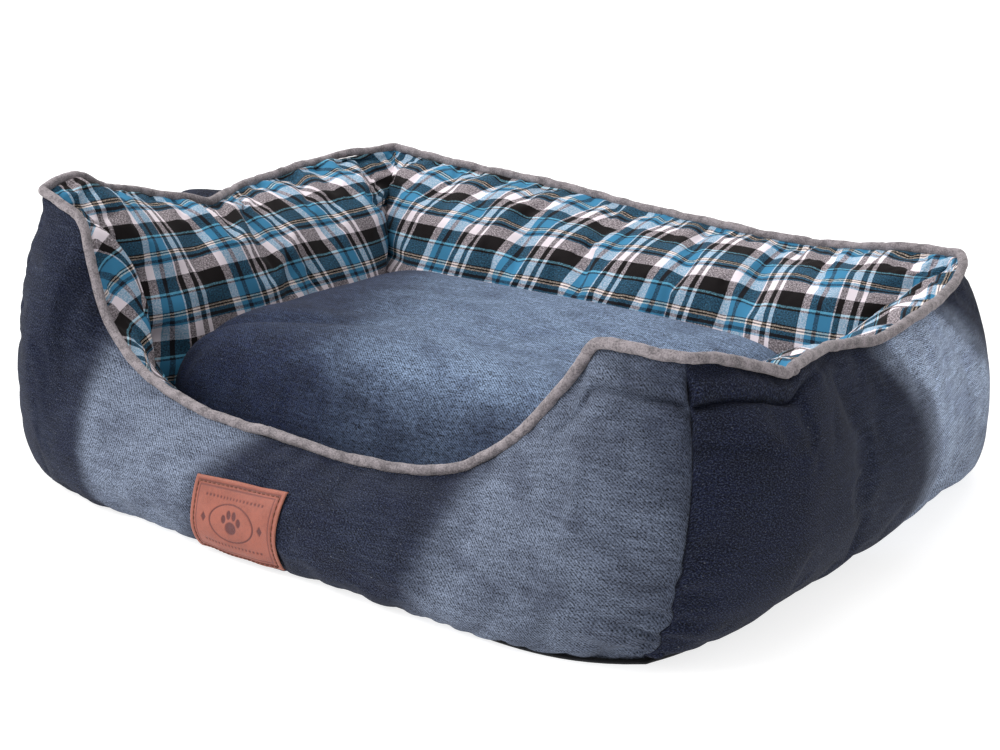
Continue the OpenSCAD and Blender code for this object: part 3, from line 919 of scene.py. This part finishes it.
def metal():
    g = Graph("zip_metal")
    brushed = g.noise(g.solid(), (400, 3000, 3000))
    g.bump(brushed, .00005, .4)
    colour = g.mix(brushed, rgb(150, 150, 154), rgb(205, 205, 210))
    g.finish(colour, g.between(brushed, .3, .7, .28, .45), Metallic=1.0)


def nylon():
    g = Graph("zip_nylon")
    fine = g.noise(g.solid(), 1500.0)
    g.bump(fine, .0001, .4)
    g.finish(g.mix(fine, rgb(28, 34, 52), rgb(48, 56, 78)), .4)


def simple_cloth(name, dark, light, scale, bump):
    g = Graph(name)
    p = g.solid()
    fine = g.noise(p, scale, 3.0, .65)
    tone = g.share(fine, g.noise(p, scale / 14), .65)
    g.bump(fine, bump, .6)
    g.finish(g.mix(g.between(tone, .35, .65), rgb(*dark), rgb(*light)), .92, Sheen_Weight=.1)


def make_materials():
    denim("denim_walls", DENIM_DARK, DENIM_LIGHT, .04)
    denim("denim_cushion", rgb(27, 33, 54), rgb(117, 135, 160), .40)
    plaid()
    plush()
    leather()
    metal()
    nylon()
    simple_cloth("cotton_cord", (205, 200, 190), (228, 224, 214), 700.0, .0003)
    simple_cloth("polyester_fill", (225, 224, 220), (246, 245, 242), 400.0, .001)
    simple_cloth("floor_lining", (48, 52, 62), (66, 70, 82), 700.0, .0003)
    simple_cloth("base_black", (16, 17, 20), (34, 35, 40), 1200.0, .0003)
    simple_cloth("brown_thread", (84, 50, 38), (120, 74, 56), 3000.0, .0001)
    simple_cloth("zip_tape", (26, 34, 54), (44, 54, 80), 1500.0, .0003)


# ---------------------------------------------------------------- fades in the denim, with painted light and shade
# Where the dye is washed light: both edges of each light band as place along the wall at half
# height, lean up the wall, bend and softness
FADES = [
    [((-.595, -.19, 0, .045), (-.185, .12, 0, .085)), ((.475, .05, .12, .08), (1.6, 0, 0, .1))],
    [((.15, 0, -.70, .12), (1.1, -1.27, .33, .15))],
    [((-.62, .1, 0, .05), (-.30, 0, .3, .08)), ((.20, -.1, 0, .08), (.62, .1, 0, .06))],
    [((-.55, .1, 0, .07), (-.15, -.1, 0, .12))],
]
FRONT_WASH = .12
FRONT_LIGHT = .86
RIGHT_WASH = .13
# The right wall's light band at its foot, and at its top with painted light added; its top rises over 1 into
# the pale colour, a painted highlight
RIGHT_LIGHT_LOW = 1.08
RIGHT_FADE_WITH_PAINTED_TOP_LIGHT = 1.27
# Painted shade on the front's light band: how much of it is left towards the front's right end, where the
# wall turns from the light, and how much more it loses under the lip's overhang there
PAINTED_SHADE_TOWARDS_RIGHT = ([.4, .5, .6, .75, .87, .95, 1], [1, .88, .80, .65, .59, .53, .38])
LIP_PAINTED_SHADE = .45


def fade_and_painted_light_of(k, s, t):
    # the dye's fade, then painted shade on the front and painted light on the right
    out = np.zeros_like(s)
    up = t - .5
    for edges in FADES[k]:
        low, high = [base + lean * up + bend * up**2 for base, lean, bend, _ in edges]
        a, b = [edge[3] for edge in edges]
        out = np.maximum(out, smooth(s, low - a, low + a) * (1 - smooth(s, high - b, high + b)))
    if k == FRONT:
        # painted shade: the light band darkens towards the right end and under the lip's overhang
        out = out * np.interp(s, *PAINTED_SHADE_TOWARDS_RIGHT) * (1 - LIP_PAINTED_SHADE * smooth(s, .72, 1) * smooth(t, .62, .85))
        out = lerp(FRONT_WASH, FRONT_LIGHT, out)
    if k == RIGHT:
        # painted light: the right wall's light band is brighter towards its top
        out = lerp(RIGHT_LIGHT_LOW, RIGHT_FADE_WITH_PAINTED_TOP_LIGHT, smooth(t, .3, .75)) * out
        out = np.maximum(out, RIGHT_WASH * smooth(s, -.7, -.1))
    return out


# ---------------------------------------------------------------- the pieces of the bed
def dress(obj, slot):
    obj.data.materials.clear()
    obj.data.materials.append(MATERIALS[slot])


def carry(obj, body, slot, node):
    """give a piece its body, the CAD node that it stands for, and its material"""
    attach(obj, body)
    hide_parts(node)
    dress(obj, slot)


def make_wall(k, side):
    panel = Panel(k, side)
    s, t = panel.fine
    name = WALL_NAMES[k]
    a, from_seam, from_foot = panel.measure(panel.fine)
    if side == OUTER:
        slot, thickness = "denim_walls", PANEL_T
        # the dye's fade, with painted shade and painted light
        attributes = {"fade_and_painted_light": fade_and_painted_light_of(k, *np.broadcast_arrays(s[None, :], t[:, None]))}
    else:
        slot, attributes = "plaid_cotton", {}
        thickness = PANEL_T * lerp(SEAM_T_SHARE, 1, smooth(from_seam, 0, SEAM_T_REACH))
    surface, uv = panel.surface(panel.fine), panel.uv(panel.fine)
    obj = shell(f"{name}_{side}_cloth", surface, thickness, uv, attributes)
    carry(obj, "bed", slot, f"{name}_{side}_panel")
    sheet_area(panel.points(panel.fine))
    return panel


def below_neck(k, s):
    """share of the wall's height that the stuffing fills: less where the top seam drops steeply"""
    z = top_seam(k, s)[2]
    steep = np.abs(np.gradient(z, s)) / half_u(k)
    return 1 - .42 * smooth(steep, .4, 1.5)


def cut_rows(grid, share):
    """the grid's rows spread over only the first share of each column"""
    rows = np.arange(len(grid))
    out = np.empty_like(grid)
    for j, part in enumerate(share):
        out[:, j] = read_rows(rows * part, rows, grid[:, j])
    return out


def make_stuffing(k, outer, inner):
    """stuffing of one wall: the wall's own cloth moved in, closed along the floor"""
    s = np.linspace(-.975, .975, 170)
    share = below_neck(k, s)
    up = outer.moved_in((s, np.linspace(.01, .93, 72)), STUFFING_INSET)
    down = inner.moved_in((s, np.linspace(.14, 1, 70)), STUFFING_INSET)
    ring = np.concatenate([cut_rows(up, share), cut_rows(down[::-1], share)[::-1]])
    foot = ring[[-1, 0]].copy()
    foot[..., 2] = BASE_T + GAP
    rings = np.swapaxes(np.concatenate([ring, foot]), 0, 1)
    obj = tube(f"{WALL_NAMES[k]}_stuffing", rings, laddered=True)
    carry(obj, "bed", "polyester_fill", f"{WALL_NAMES[k]}_filling")


def foot_outline(side, t, out, spread=0.0):
    """the walls' foot moved out, and by spread more at the front right corner"""
    lines = []
    for k in WALLS:
        s = np.linspace(-1, 1, 70)[:-1]
        towards = {FRONT: s, RIGHT: -s}.get(k, 0 * s)
        far = out + spread * smooth(towards, .45, .9)
        lines.append(face(k, s, np.full_like(s, t), side) + far[:, None] * mitre(k, s))
    return np.concatenate(lines)[:, :2]


def plate(name, outline, low, high, ripple, seed):
    """quilted cloth plate: the outline pulled in towards its middle in rings, top and bottom"""
    centre = outline.mean(0)
    rings = []
    for share in (.18, .36, .52, .66, .78, .88, .95, .985, 1):
        xy = centre + (outline - centre) * share
        quilt = value_noise2(xy[:, 0] / .035 + 20, xy[:, 1] / .035 + 20, seed)
        lift = ripple * quilt * smooth(1 - share, 0, .1)
        rings.append(np.column_stack([xy, high + np.minimum(lift, 0)]))
    top = np.array(rings)
    bottom = top[::-1].copy()
    bottom[..., 2] = low
    return tube(name, np.concatenate([top, bottom]), flip=True)


def make_floor_layers():
    outline = foot_outline(OUTER, 0, -.0015, .0065)
    base = plate("base_sheet", outline, .0, BASE_T, .0003, 71)
    carry(base, "bed", "base_black", "base_cloth")
    low = BASE_T + GAP
    pad = plate("floor_pad", foot_outline(INNER, 1, -.001), low, low + WADDING_T, .0006, 72)
    carry(pad, "bed", "polyester_fill", "floor_wadding")
    outline = foot_outline(INNER, 1, -.0005)
    low += WADDING_T + GAP
    lining = plate("floor_sheet", outline, low, low + LINING_T, .0002, 73)
    carry(lining, "bed", "floor_lining", "floor_lining")


def piping_line():
    """centre of the piping, its outward direction and the way gone along it, at even steps round the bed"""
    points, out = [], []
    for k in WALLS:
        s = np.linspace(-1, 1, 400)[:-1]
        one = np.ones_like(s)
        normal = unit(unit(face_normal(k, s, one, OUTER)) + unit(face_normal(k, s, 0 * one, INNER)))
        seam = face(k, s, one, OUTER)
        climb = unit(np.gradient(seam, axis=0))
        normal = unit(normal - (normal * climb).sum(-1, keepdims=True) * climb)
        points.append(seam + PIPING_LIFT * normal)
        out.append(mitre(k, s))
    points, out = np.concatenate(points), np.concatenate(out)
    for _ in range(2):
        points = (np.roll(points, 1, 0) + 2 * points + np.roll(points, -1, 0)) / 4
    points, out = [np.concatenate([field, field[:1]]) for field in (points, out)]
    at = distance(points, 0)
    steps = np.linspace(0, at[-1], int(at[-1] / PIPING_STEP), endpoint=False)
    return read_rows(steps, at, points), unit(read_rows(steps, at, out)), steps


def make_piping():
    points, out, at = piping_line()
    fading = np.minimum(1, np.minimum(at, at[-1] + at[1] - at) / .02)
    wave = value_noise(at / .03, 90) * .0008 + value_noise(at / .012 + 40, 91) * .0006
    points = points + (wave * fading)[:, None] * np.array([0, 0, 1.0])
    angle = np.linspace(0, 2 * math.pi, PIPING_SIDES, endpoint=False)[None]
    pile = value_noise2(at[:, None] / .0035, angle * 1.6 + 7, 95) * .00028
    pile += value_noise2(at[:, None] / .016, angle * .9 + 7, 96) * .0003
    pile *= fading[:, None]
    joint = np.linalg.norm(points - face(RIGHT, JOINT_S, 1, OUTER), axis=-1).argmin()
    off = at - at[joint]
    pile += (.0008 * np.exp(-((off - .003) / .003) ** 2) - .0012 * np.exp(-(off / .0012) ** 2))[:, None]
    direction = unit(np.roll(points, -1, 0) - np.roll(points, 1, 0))
    side = unit(out - (out * direction).sum(-1, keepdims=True) * direction)
    down = np.cross(side, direction)
    cover = circles(points, PIPING_R - .0002 + pile, side, down, PIPING_SIDES)
    carry(tube("piping_plush", cover, closed=True, flip=True), "bed", "grey_plush", "piping_cover")
    cord = circles(points, np.full((len(points), 12), CORD_R), side, down, 12)[::3]
    carry(tube("piping_core", cord, closed=True, flip=True), "bed", "cotton_cord", "piping_cord")


# ---------------------------------------------------------------- leather patch
def band(value, at, half):
    """1 on a line of this half width, and 0 beside it"""
    return np.exp(-((value - at) / half) ** 4)


def patch_field(x, y, width, height):
    """how deep the leather is pressed in, from 0 to 1, at x, y from the patch's lower left, in metres"""
    inset = np.minimum(np.minimum(x, width - x), np.minimum(y, height - y))
    out = .8 * np.maximum(band(inset, .0062, .0004), band(inset, STITCH_MARGIN, .0005))
    px, py = x - width / 2, y - height / 2
    oval = np.sqrt((px / .019) ** 2 + (py / .0118) ** 2)
    out = np.maximum(out, band((oval - 1) * .014, 0, .0005))
    pads = [(0, -.0030, .0052, .0040), (-.0071, .0016, .0020, .0028), (-.0026, .0050, .0021, .0030),
            (.0026, .0050, .0021, .0030), (.0071, .0016, .0020, .0028)]
    for ax, ay, rx, ry in pads:
        r = np.sqrt(((px - ax) / rx) ** 2 + ((py - ay) / ry) ** 2)
        out = np.maximum(out, 1 - smooth(r, .85, 1.1))
    for sign in (-1, 1):
        hatch = smooth(np.cos(px / .0030 * 2 * math.pi), -.1, .3) * (np.abs(px) < .026)
        out = np.maximum(out, .9 * band(py - sign * .0152, 0, .0009) * hatch)
        r = np.abs(px - sign * .0245) / .0022 + np.abs(py) / .0034
        out = np.maximum(out, 1 - smooth(r, .85, 1.1))
    return out


def make_patch(panel):
    """the leather, moulded over the wall's cloth, with raised middle, pressed lines and worn edge"""
    columns, rows = 150, 110
    half = PATCH_WIDTH / 2 / half_u(FRONT)
    s = PATCH_S + np.linspace(-half, half, columns)
    low, high = PATCH_ROWS
    t = np.linspace(low, high + PATCH_TILT, rows)
    plain = panel.points((s, t))
    flat = plain + blur(panel.surface((s, t)) - plain, 12) + .0006 * grid_normals(plain)
    under = np.empty_like(flat)
    for j, right in enumerate(np.linspace(0, 1, columns)):
        under[:, j] = read_rows(np.linspace(low, high + PATCH_TILT * right, rows), t, flat[:, j])
    n = grid_normals(under)
    a = np.linspace(0, PATCH_WIDTH, columns)[None, :] + np.zeros((rows, 1))
    b = distance(under, 0)
    height = float(b[-1].mean())
    b = b / b[-1:] * height
    inset = np.minimum(np.minimum(a, PATCH_WIDTH - a), np.minimum(b, height - b))
    pressed = patch_field(a, b, PATCH_WIDTH, height)
    round_edge = np.sqrt(np.clip(1 - (1 - np.minimum(inset / .0014, 1)) ** 2, 0, 1))
    stitched = -.0004 * np.exp(-((inset - STITCH_MARGIN) / .0011) ** 2)
    cup = .0006 * value_noise2(a / .03 + 3, b / .02, 61)
    top = GAP + PATCH_T * (.45 + .55 * round_edge) + stitched - .00035 * pressed + cup
    surface = under + top[..., None] * n
    attributes = {"burnt": np.clip(pressed, 0, 1), "worn": np.exp(-inset / .0012)}
    patch = shell("patch_leather", surface, PATCH_T * .7, np.stack([a, b], -1), attributes)
    carry(patch, "bed", "tan_leather", "leather_patch")
    make_stitches(surface, n, height)


def make_stitches(surface, normals, height):
    """thread along the patch's edge, one arched tube for each stitch that shows"""
    rows, columns = surface.shape[:2]

    def look_up(x, y):
        i = np.clip(y / height * (rows - 1), 0, rows - 1.001)
        j = np.clip(x / PATCH_WIDTH * (columns - 1), 0, columns - 1.001)
        i0, j0 = int(i), int(j)
        corners = surface[i0:i0 + 2, j0:j0 + 2]
        low, high = [lerp(row[0], row[1], j - j0) for row in corners]
        return lerp(low, high, i - i0), normals[i0, j0]

    left, right = STITCH_MARGIN, PATCH_WIDTH - STITCH_MARGIN
    foot, head = STITCH_MARGIN, height - STITCH_MARGIN
    corners = np.array([(left, foot), (right, foot), (right, head), (left, head), (left, foot)])
    rings = np.linspace(-.5, .5, 7)
    taper = STITCH_R * np.sqrt(np.clip(1 - (rings * 2 * .92) ** 4, 0, 1))
    all_points, all_faces = [], []
    count = 0
    for start, end in zip(corners[:-1], corners[1:]):
        span = np.linalg.norm(end - start)
        number = int(span / STITCH_PITCH)
        for middle in (np.arange(number) + .5) / number:
            line = []
            for q in rings:
                point, normal = look_up(*(start + (end - start) * (middle + q * STITCH_LENGTH / span)))
                line.append(point + normal * (STITCH_R * .5 + .0003 * math.cos(q * math.pi)))
            line = np.array(line)
            direction = unit(np.gradient(line, axis=0))
            side = unit(np.cross(direction, normal))
            points, faces = skin(circles(line, taper[:, None], side, np.cross(side, direction), 7), flip=True)
            all_points.append(points)
            all_faces += [f + count for f in faces]
            count += len(points)
    obj = build_mesh("patch_thread", np.concatenate(all_points), all_faces)
    carry(obj, "bed", "brown_thread", "patch_stitching")


# ---------------------------------------------------------------- cushion
def cushion_point(a, b, rise):
    """point of a cover at a, b from -1 to 1 across the cushion, in concentric squares"""
    r = np.maximum(np.abs(a), np.abs(b))
    safe = np.maximum(r, 1e-9)
    angle = np.arctan2(b / safe, a / safe)
    c, s = np.cos(angle), np.sin(angle)
    scale = (np.abs(c) ** SQUARENESS + np.abs(s) ** SQUARENESS) ** (-1 / SQUARENESS)
    z = CUSHION_SEAM + rise * np.sqrt(np.clip(1 - r ** CROWN_POWER, 0, 1))
    return np.stack([CUSHION_X * r * scale * c, CUSHION_AT + CUSHION_Y * r * scale * s, z], -1)


def cushion_folds(p, r, seed):
    """height of the folds over the plain crown: broad ones, tucks along the seam, and one valley"""
    x, y = p[..., 0], p[..., 1]
    round_it = np.arctan2(y - CUSHION_AT, x) * .24
    h = .0022 * value_noise2(x / .07 + 20, y / .06 + 20, seed)
    h += .0009 * value_noise2(x / .03 + 20, y / .025 + 20, seed + 1)
    h += tucks(round_it, (1 - r) * CUSHION_X, seed + 2, (-.76, .76), .026, .0022, .006, .03)
    valley = np.exp(-((y + .112 - .35 * (x + .15)) / .011) ** 2)
    h -= .008 * valley * smooth(-x, .03, .13)
    return h * smooth(1 - r, 0, .03)


def cushion_fade_and_painted_shade(x, y, r):
    """the light lane across the cushion, which darkens to the front right and to the seam, and to the left
    with painted shade of the corner between the cushion and the front wall
    """
    lane = (x + .075) * .85 + y * .35
    fade_and_painted_light = .12 + .58 * smooth(lane, -.08, .08) + .12 * np.exp(-(lane / .03) ** 2)
    # painted shade: darker to the left, in the corner between the cushion and the front wall
    fade_and_painted_light *= smooth(x, -.225, -.13) * (1 - .22 * smooth(x, .06, .16) * smooth(-y, .02, .12))
    return np.clip(fade_and_painted_light * (1 - .5 * smooth(r, .78, .98)), 0, 1)


def from_middle(grid, axis):
    run = distance(grid, axis)
    return run - np.take(run, [grid.shape[axis] // 2], axis)


def make_cushion():
    even = np.linspace(-1, 1, 190)
    line = np.sign(even) * (1 - (1 - np.abs(even)) ** 1.8)
    a, b = np.meshgrid(line, line)
    r = np.maximum(np.abs(a), np.abs(b))
    top = cushion_point(a, b, CROWN)
    top = top + cushion_folds(top, r, 31)[..., None] * grid_normals(top)
    top[..., 2] = np.minimum(top[..., 2], CUSHION_SEAM + CROWN + .004)
    bottom = cushion_point(a, b, -DROP)
    for key, grid in (("top", top), ("bottom", bottom[:, ::-1])):
        uv = np.stack([from_middle(grid, 1), from_middle(grid, 0)], -1)
        # the cover's fade, with painted shade at the left
        attributes = {"fade_and_painted_light": cushion_fade_and_painted_shade(grid[..., 0], grid[..., 1], r)}
        obj = shell(f"cushion_{key}_cloth", grid, COVER_T, uv, attributes)
        carry(obj, "cushion", "denim_cushion", f"cushion_{key}_cover")
    apart = (r > .9999)[..., None] * np.array([0, 0, GAP])
    upper = top - COVER_INSET * grid_normals(top) + apart
    lower = bottom + COVER_INSET * grid_normals(bottom) - apart
    fill = closed_pair("cushion_stuffing", upper[::3, ::3], lower[::3, ::3])
    carry(fill, "cushion", "polyester_fill", "cushion_filling")


def finish_zip():
    """the zip's CAD nodes are shown as they are, in materials of their own"""
    for node, slot in (("zip_tapes", "zip_tape"), ("zip_coil", "zip_nylon"),
                       ("zip_stops", "zip_metal"), ("zip_slider", "zip_metal")):
        dress(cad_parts[node], slot)


# ---------------------------------------------------------------- floor, light and camera
def make_floor():
    g = Graph("studio_floor")
    grain = g.noise(g.solid(), 60.0)
    g.finish(g.mix(grain, (.42, .42, .42, 1), (.45, .45, .45, 1)), .9, Specular_IOR_Level=0,
             Emission_Color=(1, 1, 1, 1), Emission_Strength=.78)
    points = FLOOR_REACH * np.array([[-1, -1, 0], [1, -1, 0], [1, 1, 0], [-1, 1, 0]])
    floor = build_mesh("studio_floor", points, [np.array([[0, 1, 2, 3]])])
    floor.data.materials.append(MATERIALS["studio_floor"])


def make_light():
    g = Graph("studio", bpy.data.worlds, "Background")
    where = g.add("TexCoord").outputs["Generated"]
    towards = g.add("VectorMath", {0: where, 1: SOFT_LIGHT_FROM}, operation="DOT_PRODUCT").outputs["Value"]
    level = g.add("MapRange", {0: towards, 1: -1, 2: 1, 3: SOFT_LIGHT_LOW, 4: SOFT_LIGHT_HIGH})
    g.put(g.shader, 0, (1, 1, 1, 1))
    g.put(g.shader, 1, level.outputs[0])
    bpy.context.scene.world = g.owner
    lamp("key", (-1.0, -1.5, 1.6), 1.2, 30)
    lamp("top", (-.2, .9, 2.3), 1.8, 24)


def lamp(name, at, size, power):
    """square area light that faces the middle of the bed"""
    data = bpy.data.lights.new(name, "AREA")
    data.shape = "SQUARE"
    data.size = size
    data.energy = power
    obj = bpy.data.objects.new(name, data)
    obj.location = at
    aim = np.array([0, 0, .08]) - np.array(at)
    obj.rotation_mode = "QUATERNION"
    obj.rotation_quaternion = Vector(aim).to_track_quat("-Z", "Y")
    bpy.context.scene.collection.objects.link(obj)


def make_camera():
    data = bpy.data.cameras.new("camera")
    data.lens = CAMERA_LENS
    data.sensor_width = 36
    obj = bpy.data.objects.new("camera", data)
    a, e, r = [math.radians(x) for x in (CAMERA_AZIMUTH, CAMERA_ELEVATION, CAMERA_ROLL)]
    back = np.array([math.sin(a) * math.cos(e), -math.cos(a) * math.cos(e), math.sin(e)])
    right = unit(np.cross(-back, [0, 0, 1]))
    up = np.cross(right, -back)
    matrix = np.eye(4)
    matrix[:3, 0] = right * math.cos(r) + up * math.sin(r)
    matrix[:3, 1] = up * math.cos(r) - right * math.sin(r)
    matrix[:3, 2] = back
    matrix[:3, 3] = CAMERA_AT
    obj.matrix_world = Matrix(matrix.tolist())
    bpy.context.scene.collection.objects.link(obj)
    bpy.context.scene.camera = obj


def main():
    bpy.context.scene.view_settings.view_transform = "Standard"
    make_camera()
    make_materials()
    panels = {(k, side): make_wall(k, side) for k in WALLS for side in (OUTER, INNER)}
    for k in WALLS:
        make_stuffing(k, panels[k, OUTER], panels[k, INNER])
    make_floor_layers()
    make_piping()
    make_patch(panels[FRONT, OUTER])
    make_cushion()
    finish_zip()
    make_floor()
    make_light()
    bpy.context.view_layer.update()


main()
